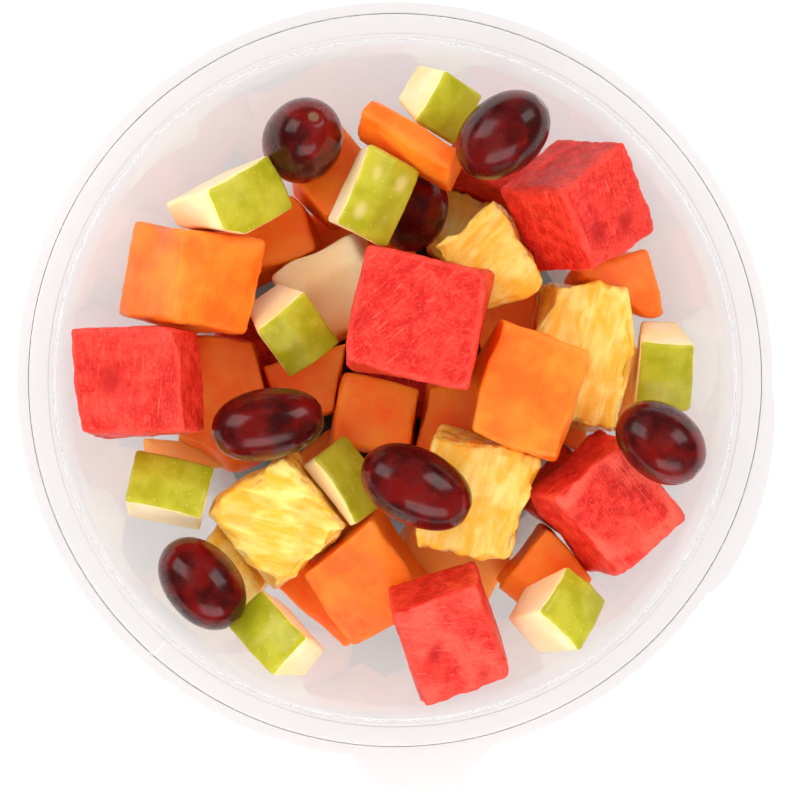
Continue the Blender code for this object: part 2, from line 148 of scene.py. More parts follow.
# Where a chunk leaves its plain shape, as nicked corners, bent sides and waists: the place, the
# reach of the move and the push, all in mm.
PUSHES = {
    "pineapple_4": [((30, 22, 50), 7, (2.6, -3.0, 0)), ((34, 31, 50), 6, (1.2, 1.0, 0)),
                    ((10, 36, 50), 6, (1.4, -1.2, 0)), ((24, 44, 52), 4, (-0.6, -1.2, 0))],
    "cantaloupe_13": [((57, 19, 40), 10, (1.5, -9.0, 0))],
    "honeydew_4": [((-43, -17, 36), 7, (4.0, -1.5, 1.0))],
    "pineapple_5": [((34, 10, 47), 7, (-2.4, 0, 0)), ((53, 7, 47), 7, (2.0, 0, 0)),
                    ((35, 20, 50), 5, (1.8, -1.0, 0)), ((35, -8, 48), 6, (-1.2, 1.0, 0)),
                    ((53, 22, 50), 4, (-1.0, -1.4, 0)), ((54, -9, 50), 4, (-1.4, 1.0, 0))],
    "pineapple_6": [((-37, -25, 48), 7, (-2.4, 2.0, 0)), ((-41, -32, 52), 4, (-0.5, 0.5, 0)),
                    ((-13, -32, 54), 5, (-1.2, 0.4, 0)), ((-26, -47, 52), 4, (0.6, 1.2, 0))],
    "pineapple_7": [((36, -22, 54), 6, (2.2, 0.6, 0)), ((8, -15, 54), 5, (-1.4, 0.8, 0)),
                    ((30, -42, 54), 5, (-1.0, 0.8, 0))],
    "watermelon_6": [((56, 31, 62), 4, (-1.2, 0.8, -0.6)), ((38, 50, 70), 5, (0.5, -0.8, -0.6)),
                     ((59, 38, 60), 4, (1.0, 0, 0)), ((47, 25, 60), 4, (-0.8, 0.9, 0))],
    "watermelon_7": [((50, -43, 60), 5, (-0.8, 1.4, -0.8)), ((66, -32, 60), 4, (-0.6, 0.6, -0.6)),
                     ((36, -31, 50), 5, (-1.6, 0.4, 0)), ((44, -18, 64), 4, (-0.6, 0.9, 0))],
    "watermelon_8": [((4, -74, 64), 4, (1.2, 0.8, 0)), ((-2, -58, 60), 4, (0.6, 0, 0))],
    "watermelon_9": [((-47, 11, 68), 4, (-1.2, -0.6, -0.4)), ((-73, -12, 60), 4, (0.8, 0.6, 0)),
                     ((-44, -4, 64), 6, (-1.2, 0, 0))],
    "watermelon_10": [((20, -3, 74), 5, (-0.6, 0.9, -0.4)), ((-11, 3, 72), 6, (0.7, 0.4, -0.4)),
                      ((21, 24, 74), 4, (-0.6, -0.5, 0))],
    "cantaloupe_17": [((18.5, 4, 51), 7, (-3.6, 0, 1.5)), ((21, 12, 66), 4, (0.6, -1.2, -0.5)),
                      ((38, -14, 67), 5, (-0.6, 1.0, -0.4)), ((17, -12, 66), 5, (0.7, 0.5, -0.4))],
    "cantaloupe_16": [((-31, 13, 62), 5, (-0.8, 0.9, 0)), ((-52, 34, 52), 5, (1.0, -1.0, 0)),
                      ((-60, 12, 50), 5, (-0.8, 0, 0)), ((-29, 32, 66), 4, (-0.8, -0.5, 0))],
    "cantaloupe_3": [((5, -4, 36), 5, (0.6, -0.9, 0))],
    "cantaloupe_11": [((-45, 8, 40), 5, (0.6, -0.5, 0)), ((-37, -14, 34), 8, (0, -6.5, -1.0))],
    "cantaloupe_15": [((-16, -55, 45), 5, (-1.0, 0.6, 0)), ((3, -42, 50), 5, (0.8, 0.6, 0))],
    "honeydew_7": [((-23, 26, 42), 5, (-1.5, 1.0, 0)), ((-10, 12, 42), 6, (-0.6, 0.6, -0.8))],
    "apple_8": [((-46, 36, 50), 4, (0.6, -0.6, 0)), ((-22, 36, 60), 4, (1.0, -1.2, 0))],
    "apple_9": [((6, 44, 62), 4, (1.2, 0.6, 0))],
}

# Each kind's grid in mm and its smoothing passes.
GRID = {
    "watermelon": (0.60, 1),
    "cantaloupe": (0.64, 2),
    "honeydew": (0.70, 4),
    "pineapple": (0.56, 2),
    "apple": (0.50, 2),
    "grape": (0.55, 6),
}

# Chunks that lie under the heap, or show no more than a sliver: a coarser grid does for them.
HIDDEN = {
    "watermelon_1", "watermelon_2", "watermelon_3", "watermelon_4", "watermelon_5",
    "cantaloupe_1", "cantaloupe_2", "honeydew_1", "honeydew_2", "honeydew_5", "honeydew_6",
    "pineapple_1", "pineapple_3",
}
HIDDEN_GRID = 0.95

# The noise seed of the first piece, and the step from one piece's seed to the next.
FIRST_SEED = 101
SEED_STEP = 13


# ------------------------------------------------------------------ studio, in metres

SKY_STRENGTH = 1.32
SKY_IN_REFLECTIONS = 0.03
FLOOR_TONE = 0.79
FLOOR_HALF_WIDTH = 3
CAMERA_CENTRE = (0.00112, -0.00449)
CAMERA_DISTANCE = 0.95
VIEW_WIDTH = 0.17978
SENSOR_WIDTH = 36.0

# Each soft box: name, place, width, height, watts. All of them face the middle of the heap.
BOX_AIM = (0.0, 0.0, 0.05)
SOFT_BOXES = [
    ("front_box", (0.05, -0.85, 0.62), 0.95, 0.50, 3.2),
    ("left_box", (-0.80, 0.38, 0.72), 0.60, 0.70, 3.2),
    ("right_box", (0.72, 0.52, 0.80), 0.50, 0.70, 2.8),
]


def linear(red, green, blue):
    """A display colour, 0 to 255, as the light it stands for."""
    values = []
    for value in (red, green, blue):
        share = value / 255
        values.append(share / 12.92 if share <= 0.04045 else ((share + 0.055) / 1.055) ** 2.4)
    return (*values, 1.0)


# ------------------------------------------------------------------ noise on points, in mm

def hashed(cells, seed):
    """A repeatable value from -1 to 1 for each whole-number cell."""
    mixed = (cells[..., 0] * 73856093) ^ (cells[..., 1] * 19349663) ^ (cells[..., 2] * 83492791)
    mixed = (mixed ^ (seed * 2654435761)) & 0xFFFFFFFF
    mixed = ((mixed ^ (mixed >> 15)) * 2246822519) & 0xFFFFFFFF
    mixed = ((mixed ^ (mixed >> 13)) * 3266489917) & 0xFFFFFFFF
    return ((mixed ^ (mixed >> 16)) & 0xFFFFFF) / 0x7FFFFF - 1.0


def grain(points, size, seed):
    """Smooth noise from -1 to 1; size is the length of a lump along each axis."""
    spots = points / np.array(size, float)
    base = np.floor(spots).astype(np.int64)
    share = spots - base
    share = share * share * (3 - 2 * share)
    total = np.zeros(len(points))
    for corner in range(8):
        offset = np.array([corner & 1, corner >> 1 & 1, corner >> 2])
        weight = np.prod(np.where(offset == 1, share, 1 - share), axis=1)
        total += weight * hashed(base + offset, seed)
    return total


def layered(points, size, seed, layers=3):
    """Smooth noise with finer and fainter layers on top, still from -1 to 1."""
    total = np.zeros(len(points))
    reach = 0.0
    for layer in range(layers):
        total += grain(points, np.array(size, float) / 2 ** layer, seed + 17 * layer) / 2 ** layer
        reach += 1 / 2 ** layer
    return total / reach


def ease(value, low, high):
    """0 at low, 1 at high and a soft curve between them."""
    share = np.clip((value - low) / (high - low), 0, 1)
    return share * share * (3 - 2 * share)


# ------------------------------------------------------------------ meshes

def welded(mesh):
    """Join points that lie on each other and turn every face outwards."""
    form = bmesh.new()
    form.from_mesh(mesh)
    bmesh.ops.remove_doubles(form, verts=form.verts, dist=1e-6)
    bmesh.ops.recalc_face_normals(form, faces=form.faces)
    form.to_mesh(mesh)
    form.free()


def fine_mesh(source, pitch):
    """The solid of a CAD node as an even, closed grid of small faces."""
    mesh = source.data.copy()
    welded(mesh)
    rough = bpy.data.objects.new("rough", mesh)
    bpy.context.scene.collection.objects.link(rough)
    grid = rough.modifiers.new("grid", "REMESH")
    grid.mode = "VOXEL"
    grid.voxel_size = pitch * MM
    grid.use_smooth_shade = True
    ready = rough.evaluated_get(bpy.context.evaluated_depsgraph_get())
    fine = bpy.data.meshes.new_from_object(ready)
    bpy.data.objects.remove(rough)
    bpy.data.meshes.remove(mesh)
    fine.materials.clear()
    return fine


def points_of(mesh):
    values = np.empty(len(mesh.vertices) * 3, np.float32)
    mesh.vertices.foreach_get("co", values)
    return values.reshape(-1, 3).astype(float)


def set_points(mesh, points):
    mesh.vertices.foreach_set("co", points.astype(np.float32).ravel())
    mesh.update()


def normals_of(mesh):
    values = np.empty(len(mesh.vertices) * 3, np.float32)
    mesh.vertices.foreach_get("normal", values)
    return values.reshape(-1, 3).astype(float)


def edges_of(mesh):
    values = np.empty(len(mesh.edges) * 2, np.int32)
    mesh.edges.foreach_get("vertices", values)
    return values.reshape(-1, 2)


def averaged(values, edges, count):
    """Each point's value averaged over its neighbours."""
    out = np.zeros_like(values)
    for column in range(values.shape[1]):
        out[:, column] = (np.bincount(edges[:, 0], values[edges[:, 1], column], count)
                          + np.bincount(edges[:, 1], values[edges[:, 0], column], count))
    degree = np.bincount(edges.ravel(), minlength=count)[:, None]
    return out / np.maximum(degree, 1)


def smoothed(mesh, passes, strength=0.5):
    """Move each point part of the way to the middle of its neighbours."""
    points = points_of(mesh)
    edges = edges_of(mesh)
    for _ in range(passes):
        points += strength * (averaged(points, edges, len(points)) - points)
    set_points(mesh, points)


def edge_share(mesh, reach=6):
    """1 along the corners and edges of a chunk and 0 on its flat faces."""
    normals = normals_of(mesh)
    edges = edges_of(mesh)
    soft = normals
    for _ in range(reach):
        soft = averaged(soft, edges, len(soft))
    length = np.linalg.norm(soft, axis=1)
    return ease(1 - length, 0.01, 0.12)


def store(mesh, name, values):
    """Keep one number a point on the mesh, for its material to read."""
    layer = mesh.attributes.new(name, "FLOAT", "POINT")
    layer.data.foreach_set("value", values.astype(np.float32))


# ------------------------------------------------------------------ axes of a piece

def flat_sides(mesh):
    """The larger flat sides of a mesh: (area, normal), the largest first."""
    mesh.calc_loop_triangles()
    sides = []
    for polygon in sorted(mesh.polygons, key=lambda face: -face.area):
        for side in sides:
            if side[1].dot(polygon.normal) > 0.97:
                side[0] += polygon.area
                break
        else:
            sides.append([polygon.area, polygon.normal.copy()])
    return sorted(sides, key=lambda side: -side[0])


def own_axes(name, mesh):
    """A rotation whose Z is the normal of the upper face and whose X runs along a side."""
    if name in SKIN_FACING or name in GRAPE_AXIS:
        azimuth, lean = SKIN_FACING.get(name) or (GRAPE_AXIS[name][0], 90 - GRAPE_AXIS[name][1])
        azimuth, lean = math.radians(azimuth), math.radians(lean)
        up = Vector((math.sin(lean) * math.cos(azimuth), math.sin(lean) * math.sin(azimuth),
                     math.cos(lean)))
        side = Vector((0.3, 1.0, 0.0))
    else:
        sides = flat_sides(mesh)
        up = max(sides, key=lambda side: side[0] * max(side[1].z, 0.0) ** 2)[1]
        side = max(sides, key=lambda side: side[0] if abs(side[1].dot(up)) < 0.35 else 0.0)[1]
    along = (side - up * side.dot(up)).normalized()
    if name in GRAIN_TURN:
        along = Matrix.Rotation(math.radians(GRAIN_TURN[name]), 3, up) @ along
    across = up.cross(along)
    return Matrix((along, across, up)).transposed()


# ------------------------------------------------------------------ shapes of the fruit

def bowl_terms(points):
    """The terms of a shallow bowl or saddle over x and y, one row a point."""
    x, y = points[:, 0], points[:, 1]
    return np.stack([np.ones(len(points)), x, y, x ** 2, y ** 2], 1)


def skin_depth(source, axes, centre, local):
    """How far each point lies below the skin surface of an apple chunk, in mm."""
    turn = np.array(axes)
    points = (points_of(source.data) - np.array(centre)) @ turn * 1000
    top = []
    for polygon in source.data.polygons:
        if polygon.normal.dot(axes.col[2]) > 0.86:
            top.extend(polygon.vertices)
    top = points[sorted(set(top))]
    top = top[top[:, 2] > np.median(top[:, 2]) - 4]
    fit = np.linalg.lstsq(bowl_terms(top), top[:, 2], rcond=None)[0]
    return bowl_terms(local) @ fit - local[:, 2]


# Each shaper gives how far every point is lifted along its normal, in mm, and the marks that the
# material reads. It gets the points in world mm and in the piece's own mm, and their normals.

def shape_watermelon(name, world, local, normals, edge, seed):
    """Soft grainy flesh with ragged edges and, here and there, the hollow of a seed."""
    lift = 0.62 * layered(local, (10, 10, 10), seed, 2)
    lift += 0.10 * layered(local, (1.5, 3.0, 1.5), seed + 3, 2)
    pits = ease(grain(local, (2.6, 3.4, 2.6), seed + 5), 0.45, 0.95)
    lift -= 0.42 * pits
    lift -= edge * (0.10 + 0.42 * layered(local, (1.7, 1.7, 1.7), seed + 7, 2))
    hollow = np.zeros(len(local))
    for x, y, length, width, azimuth, depth in SEED_HOLLOWS.get(name, []):
        turn = math.radians(azimuth)
        dx, dy = world[:, 0] - x, world[:, 1] - y
        along = (dx * math.cos(turn) + dy * math.sin(turn)) / (length / 2)
        across = (-dx * math.sin(turn) + dy * math.cos(turn)) / (width / 2)
        share = np.exp(-(along ** 2 + across ** 2)) * ease(normals[:, 2], 0.1, 0.5)
        hollow = np.maximum(hollow, share * min(1.0, depth))
        lift -= depth * share
    # Lighter patches, kept to the upward faces: partly watery flesh, partly painted light on the tops.
    pale_and_top_light = PALE_AND_TOP_LIT_MELON.get(name, 0.0) * ease(layered(local, (6, 6, 6), seed + 21, 2), -0.35, 0.35)
    pale_and_top_light = pale_and_top_light * ease(normals[:, 2], 0.35, 0.85)
    # The hollow mark, seed hollows and at half strength pits, is where the material paints shade.
    return lift, {"hollow": np.maximum(hollow, 0.5 * pits), "pale_and_top_light": pale_and_top_light}


def shape_cantaloupe(name, world, local, normals, edge, seed):
    """Firm flesh, gently uneven, with soft edges; one chunk is pitted along its front."""
    lift = 0.75 * layered(local, (11, 11, 11), seed, 2)
    lift += 0.07 * layered(local, (1.6, 4.0, 1.6), seed + 3, 2)
    lift -= 0.3 * edge * (0.2 + layered(local, (3.5, 3.5, 3.5), seed + 9, 2))
    pits = ease(grain(local, (1.8, 1.8, 1.8), seed + 11), 0.6, 1.0)
    if name == "cantaloupe_15":
        lift -= 0.5 * pits * ease(-world[:, 1], 45, 58)
    return lift, {"hollow": 0.4 * pits}


def shape_honeydew(name, world, local, normals, edge, seed):
    """Smooth flesh, with painted warm shade low in the heap."""
    lift = 0.6 * layered(local, (12, 12, 12), seed, 2)
    lift += 0.04 * layered(local, (2.5, 2.5, 2.5), seed + 3, 2)
    # Painted warm shade: stronger the lower a point lies, and at least the chunk's listed amount.
    return lift, {"painted_warm_shade": np.maximum(ease(-world[:, 2], -44, -28), HONEYDEW_WARM_SHADE.get(name, 0.0))}


def shape_pineapple(name, world, local, normals, edge, seed):
    """Juicy flesh in long soft folds, with torn edges."""
    wave = local + 1.4 * np.stack([grain(local, (8, 8, 8), seed + i) for i in (1, 2, 3)], 1)
    folds = layered(wave, (13, 3.6, 3.6), seed, 2)
    fibres = grain(wave, (9, 1.5, 1.7), seed + 4)
    dents = ease(grain(wave, (7, 3.0, 3.0), seed + 6), 0.25, 0.9)
    lift = 0.9 * layered(local, (7, 7, 7), seed + 8, 2)
    lift += 0.85 * folds + 0.10 * fibres
    lift -= 1.0 * dents
    lift -= edge * (0.25 + 1.15 * layered(local, (3.0, 1.8, 2.0), seed + 12, 2))
    return lift, {"hollow": dents}


def shape_apple(name, world, local, normals, edge, seed):
    """Crisp flat cuts, almost without relief."""
    lift = 0.10 * layered(local, (7, 7, 7), seed, 2)
    lift += 0.025 * layered(local, (1.4, 1.4, 1.4), seed + 3, 2)
    return lift, {}


def plump(local):
    """The points of a grape moved out or in to one smooth body fitted through them."""
    reach = np.linalg.norm(local, axis=1)
    way = local / reach[:, None]
    terms = [way[:, 0] ** i * way[:, 1] ** j * way[:, 2] ** k
             for i in range(5) for j in range(5 - i) for k in range(5 - i - j)]
    terms = np.stack(terms, 1)
    fit = np.linalg.lstsq(terms, reach, rcond=None)[0]
    return way * (terms @ fit)[:, None]


def shape_grape(name, world, local, normals, edge, seed):
    """Smooth taut skin, faintly lobed, with the scar of the stalk at one end."""
    lift = 0.16 * layered(local, (12, 12, 12), seed, 2)
    end = local[:, 2].max()
    from_end = np.hypot(local[:, 0], local[:, 1])
    near = np.where(local[:, 2] > 0.6 * end, 1.0, 0.0)
    scar = np.exp(-(from_end / 1.5) ** 2) * near
    ring = np.exp(-((from_end - 2.0) / 0.6) ** 2) * near
    lift += 0.14 * ring - 0.55 * scar
    return lift, {"hollow": ease(scar, 0.2, 0.8)}


SHAPERS = {
    "watermelon": shape_watermelon,
    "cantaloupe": shape_cantaloupe,
    "honeydew": shape_honeydew,
    "pineapple": shape_pineapple,
    "apple": shape_apple,
    "grape": shape_grape,
}


def sculpt(node, kind, mesh, axes, centre, seed):
    """Give a fine mesh its surface, write its marks, and move it into the piece's own axes."""
    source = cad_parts[node]
    turn = np.array(axes)
    world = points_of(mesh)
    local = (world - np.array(centre)) @ turn * 1000
    if kind == "grape":
        local = plump(local)
        set_points(mesh, local @ turn.T * MM + np.array(centre))
    normals = normals_of(mesh)
    edge = edge_share(mesh)
    lift, marks = SHAPERS[kind](node, world * 1000, local, normals, edge, seed)
    push = np.zeros_like(local)
    for spot, reach, way in PUSHES.get(node, []):
        away = np.linalg.norm(world * 1000 - np.array(spot), axis=1)
        push += np.exp(-(away / reach) ** 2)[:, None] * (np.array(way, float) @ turn)
    if kind == "apple":
        marks["below"] = skin_depth(source, axes, centre, local)
    store(mesh, "edge", edge)
    for name, values in marks.items():
        store(mesh, name, values)
    local += lift[:, None] * (normals @ turn) + push
    set_points(mesh, local * MM)
    if kind == "grape":
        smoothed(mesh, 3)


def fruit_piece(node, seed, materials):
    """A fine piece of fruit in the place of a CAD node, in its own axes."""
    kind = node.rsplit("_", 1)[0]
    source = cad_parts[node]
    pitch, passes = GRID[kind]
    mesh = fine_mesh(source, HIDDEN_GRID if node in HIDDEN else pitch)
    smoothed(mesh, passes)
    low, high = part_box(node)
    centre = (low + high) / 2
    axes = own_axes(node, source.data)
    sculpt(node, kind, mesh, axes, centre, seed)
    mesh.polygons.foreach_set("use_smooth", np.ones(len(mesh.polygons), bool))
    mesh.name = node + "_fine"
    mesh.materials.append(materials[kind])

    piece = bpy.data.objects.new(node + "_fine", mesh)
    bpy.context.scene.collection.objects.link(piece)
    piece.matrix_world = Matrix.Translation(centre) @ axes.to_4x4()
    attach(piece, "root")
    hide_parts(node)


# ------------------------------------------------------------------ materials

# How far a piece's place shifts its pattern, so that no two pieces are marked alike.
PATTERN_SHIFT = 31.0


class Look:
    """A material with a Principled shader and short ways to add nodes to it."""

    def __init__(self, name):
        self.material = bpy.data.materials.new(name)
        self.material.use_nodes = True
        self.tree = self.material.node_tree
        self.shader = self.tree.nodes["Principled BSDF"]
        coords = self.tree.nodes.new("ShaderNodeTexCoord").outputs["Object"]
        info = self.tree.nodes.new("ShaderNodeObjectInfo")
        self.random = info.outputs["Random"]
        shift = self.node("ShaderNodeVectorMath", operation="SCALE")
        self.link(info.outputs["Location"], shift.inputs[0])
        shift.inputs["Scale"].default_value = PATTERN_SHIFT
        moved = self.node("ShaderNodeVectorMath", operation="ADD")
        self.link(coords, moved.inputs[0])
        self.link(shift.outputs[0], moved.inputs[1])
        self.place = moved.outputs[0]

    def node(self, kind, **settings):
        made = self.tree.nodes.new(kind)
        for name, value in settings.items():
            setattr(made, name, value)
        return made

    def link(self, source, target):
        self.tree.links.new(source, target)

    def set(self, **values):
        for name, value in values.items():
            self.shader.inputs[name.replace("_", " ")].default_value = value

    def noise(self, size, detail=3.0, rough=0.55, warp=0.0):
        """Noise whose lumps are about size mm; three sizes stretch it along the piece's axes."""
        mapping = self.node("ShaderNodeMapping", vector_type="POINT")
        self.link(self.place, mapping.inputs["Vector"])
        sizes = size if isinstance(size, tuple) else (size, size, size)
        mapping.inputs["Scale"].default_value = [1000 / value for value in sizes]
        texture = self.node("ShaderNodeTexNoise")
        self.link(mapping.outputs[0], texture.inputs["Vector"])
        texture.inputs["Scale"].default_value = 1.0
        texture.inputs["Detail"].default_value = detail
        texture.inputs["Roughness"].default_value = rough
        texture.inputs["Distortion"].default_value = warp
        return texture.outputs["Fac"]

    def mark(self, name):
        """A number kept on the mesh by store."""
        attribute = self.node("ShaderNodeAttribute")
        attribute.attribute_name = name
        return attribute.outputs["Fac"]

    def range(self, value, low, high, bottom=0.0, top=1.0, smooth=True):
        """The value turned from low..high into bottom..top."""
        made = self.node("ShaderNodeMapRange")
        if smooth:
            made.interpolation_type = "SMOOTHSTEP"
        self.link(value, made.inputs["Value"])
        made.inputs["From Min"].default_value = low
        made.inputs["From Max"].default_value = high
        made.inputs["To Min"].default_value = bottom
        made.inputs["To Max"].default_value = top
        return made.outputs["Result"]

    def product(self, first, second):
        made = self.node("ShaderNodeMath", operation="MULTIPLY")
        self.link(first, made.inputs[0])
        self.link(second, made.inputs[1])
        return made.outputs[0]

    def mix(self, share, first, second):
        """A colour from first to second as share goes from 0 to 1."""
        made = self.node("ShaderNodeMix", data_type="RGBA")
        for value, index in ((share, 0), (first, 6), (second, 7)):
            if isinstance(value, tuple):
                made.inputs[index].default_value = value
            else:
                self.link(value, made.inputs[index])
        return made.outputs[2]

    def bump(self, height, distance, strength, below=None):
        """Relief of a height in mm, on top of the relief below it."""
        made = self.node("ShaderNodeBump")
        made.inputs["Strength"].default_value = strength
        made.inputs["Distance"].default_value = distance * MM
        self.link(height, made.inputs["Height"])
        if below:
            self.link(below, made.inputs["Normal"])
        return made.outputs[0]

    def flesh(self, weight, radius, depth):
        """Let light in to a depth in mm, with its reach in red, green and blue."""
        self.shader.inputs["Subsurface Weight"].default_value = weight
        self.shader.inputs["Subsurface Radius"].default_value = radius
        self.shader.inputs["Subsurface Scale"].default_value = depth * MM

    def colour(self, source):
        self.link(source, self.shader.inputs["Base Color"])

    def roughness(self, source):
        self.link(source, self.shader.inputs["Roughness"])

    def normal(self, source):
        self.link(source, self.shader.inputs["Normal"])


def watermelon_look():
    """Red grainy flesh with fine light threads, and lighter patches on the upward faces that are
    partly watery flesh and partly painted light.
    """
    look = Look("watermelon_flesh_wet")
    cells = look.noise((0.8, 2.0, 0.8), 4, 0.66, 0.3)
    grains = look.noise(0.62, 3, 0.7)
    patches = look.noise(3.6, 3, 0.6)
    fine = look.noise(0.42, 2, 0.6)
    threads = look.noise((0.34, 11.0, 0.55), 2, 0.5, 0.3)
    tone = look.mix(look.range(patches, 0.38, 0.66), linear(204, 18, 11), linear(240, 52, 38))
    # Lighter patches on the upward faces: partly watery flesh, partly painted light.
    tone = look.mix(look.range(look.mark("pale_and_top_light"), 0.0, 1.0, 0.0, 0.85), tone, linear(252, 96, 74))
    tone = look.mix(look.range(cells, 0.50, 0.72, 0.0, 0.5), tone, linear(250, 84, 64))
    tone = look.mix(look.range(cells, 0.50, 0.30, 0.0, 0.5), tone, linear(184, 8, 4))
    tone = look.mix(look.range(grains, 0.54, 0.72, 0.0, 0.6), tone, linear(253, 100, 78))
    tone = look.mix(look.range(grains, 0.45, 0.28, 0.0, 0.6), tone, linear(176, 7, 4))
    tone = look.mix(look.range(threads, 0.62, 0.78, 0.0, 0.6), tone, linear(255, 132, 104))
    # Painted highlight: lighter red along the edges.
    tone = look.mix(look.range(look.mark("edge"), 0.3, 1.0, 0.0, 0.3), tone, linear(246, 84, 66))
    # Painted shade: darker red in the seed hollows and pits.
    tone = look.mix(look.range(look.mark("hollow"), 0.1, 0.9, 0.0, 0.8), tone, linear(182, 8, 5))
    look.colour(tone)
    look.roughness(look.range(fine, 0.3, 0.7, 0.28, 0.5))
    low = look.bump(cells, 0.45, 0.6)
    low = look.bump(threads, 0.30, 0.5, low)
    look.normal(look.bump(grains, 0.30, 0.6, low))
    look.flesh(0.35, (1.0, 0.25, 0.15), 1.6)
    look.set(Specular_IOR_Level=0.28, Coat_Weight=0.05, Coat_Roughness=0.2)
    return look.material


def cantaloupe_look():
    """Orange flesh with soft fibres."""
    look = Look("cantaloupe_flesh_wet")
    lumps = look.noise(9.0, 2)
    fibres = look.noise((0.8, 4.0, 0.9), 3, 0.6, 0.5)
    fine = look.noise(0.45, 2, 0.6)
    tone = look.mix(look.range(lumps, 0.30, 0.72), linear(255, 102, 6), linear(255, 137, 30))
    tone = look.mix(look.range(fibres, 0.56, 0.8, 0.0, 0.35), tone, linear(255, 150, 60))
    tone = look.mix(look.range(fibres, 0.44, 0.25, 0.0, 0.35), tone, linear(250, 80, 0))
    tone = look.mix(look.range(fine, 0.56, 0.76, 0.0, 0.3), tone, linear(255, 152, 66))
    # Painted highlight: lighter orange along the edges.
    tone = look.mix(look.range(look.mark("edge"), 0.3, 1.0, 0.0, 0.2), tone, linear(255, 140, 50))
    # Painted shade: darker orange in the pits.
    tone = look.mix(look.range(look.mark("hollow"), 0.1, 0.8, 0.0, 0.5), tone, linear(236, 84, 12))
    look.colour(tone)
    look.roughness(look.range(fine, 0.3, 0.7, 0.3, 0.48))
    low = look.bump(fibres, 0.3, 0.4)
    look.normal(look.bump(fine, 0.14, 0.4, low))
    look.flesh(0.7, (1.0, 0.40, 0.10), 4.0)
    look.set(Specular_IOR_Level=0.35, Coat_Weight=0.06, Coat_Roughness=0.25)
    return look.material


def honeydew_look():
    """Pale cream flesh, with painted warm shade low in the heap."""
    look = Look("honeydew_flesh_wet")
    lumps = look.noise(10.0, 2)
    fibres = look.noise((0.9, 5.0, 0.9), 3, 0.6, 0.4)
    fine = look.noise(0.5, 2)
    tone = look.mix(look.range(lumps, 0.35, 0.65), linear(255, 222, 168), linear(255, 234, 190))
    tone = look.mix(look.range(fibres, 0.55, 0.8, 0.0, 0.3), tone, linear(255, 240, 212))
    tone = look.mix(look.range(fibres, 0.45, 0.25, 0.0, 0.25), tone, linear(238, 196, 138))
    # Painted warm shade: orange tone for light bounced from orange neighbours low in the heap.
    tone = look.mix(look.range(look.mark("painted_warm_shade"), 0.0, 1.0, 0.0, 0.9), tone, linear(246, 156, 50))
    look.colour(tone)
    look.roughness(look.range(fine, 0.3, 0.7, 0.28, 0.42))
    look.normal(look.bump(fibres, 0.18, 0.35))
    look.flesh(0.75, (1.0, 0.62, 0.30), 4.0)
    look.set(Specular_IOR_Level=0.35, Coat_Weight=0.08, Coat_Roughness=0.2)
    return look.material


def pineapple_look():
    """Yellow juicy flesh with long fibres, and painted shade in its dents."""
    look = Look("pineapple_flesh_wet")
    fibres = look.noise((10.0, 1.1, 1.2), 3, 0.6, 0.5)
    threads = look.noise((8.0, 0.36, 0.4), 2, 0.6, 0.2)
    lumps = look.noise((7.0, 3.4, 3.4), 2, 0.5, 0.4)
    fine = look.noise(0.4, 2)
    tone = look.mix(look.range(lumps, 0.36, 0.66), linear(251, 186, 50), linear(254, 214, 116))
    tone = look.mix(look.range(fibres, 0.52, 0.76, 0.0, 0.5), tone, linear(255, 228, 152))
    tone = look.mix(look.range(fibres, 0.46, 0.26, 0.0, 0.45), tone, linear(248, 172, 34))
    tone = look.mix(look.range(threads, 0.56, 0.78, 0.0, 0.28), tone, linear(255, 232, 170))
    # Painted shade: deeper yellow in the dents.
    tone = look.mix(look.range(look.mark("hollow"), 0.2, 1.0, 0.0, 0.35), tone, linear(244, 166, 26))
    look.colour(tone)
    look.roughness(look.range(fine, 0.3, 0.7, 0.2, 0.4))
    low = look.bump(fibres, 0.4, 0.35)
    look.normal(look.bump(threads, 0.14, 0.4, low))
    look.flesh(0.6, (1.0, 0.55, 0.14), 3.0)
    look.set(Specular_IOR_Level=0.45, Coat_Weight=0.2, Coat_Roughness=0.15)
    return look.material


SPECK_SPACING = 1.7


def apple_look():
    """Pale flesh, and green skin with fine specks on the side that the mark says."""
    look = Look("apple_flesh_and_skin")
    lumps = look.noise(7.0, 2)
    fine = look.noise(0.5, 3, 0.65)
    below = look.mark("below")
    flesh = look.mix(look.range(lumps, 0.35, 0.65), linear(255, 220, 160), linear(255, 230, 188))
    flesh = look.mix(look.range(fine, 0.55, 0.8, 0.0, 0.35), flesh, linear(255, 240, 212))
    near_skin = look.range(below, 3.2, 0.9, 0.0, 0.32)
    flesh = look.mix(near_skin, flesh, linear(226, 210, 100))
    broad = look.noise(5.5, 2)
    skin = look.mix(look.range(broad, 0.35, 0.65), linear(168, 162, 24), linear(186, 178, 46))
    specks = look.node("ShaderNodeTexVoronoi", feature="F1", distance="EUCLIDEAN")
    spread = look.node("ShaderNodeMapping")
    look.link(look.place, spread.inputs["Vector"])
    spread.inputs["Scale"].default_value = (1000 / SPECK_SPACING,) * 3
    look.link(spread.outputs[0], specks.inputs["Vector"])
    specks.inputs["Scale"].default_value = 1.0
    dot = look.range(specks.outputs["Distance"], 0.17, 0.06, 0.0, 0.45)
    skin = look.mix(dot, skin, linear(222, 216, 120))
    on_skin = look.range(below, 0.75, 0.45)
    look.colour(look.mix(on_skin, flesh, skin))
    look.roughness(look.range(on_skin, 0.0, 1.0, 0.42, 0.24, False))
    grain_height = look.product(fine, look.range(on_skin, 0.0, 1.0, 1.0, 0.15, False))
    look.normal(look.bump(grain_height, 0.2, 0.45))
    look.flesh(0.55, (1.0, 0.72, 0.28), 2.6)
    look.set(Specular_IOR_Level=0.35, Coat_Weight=0.06, Coat_Roughness=0.2)
    return look.material


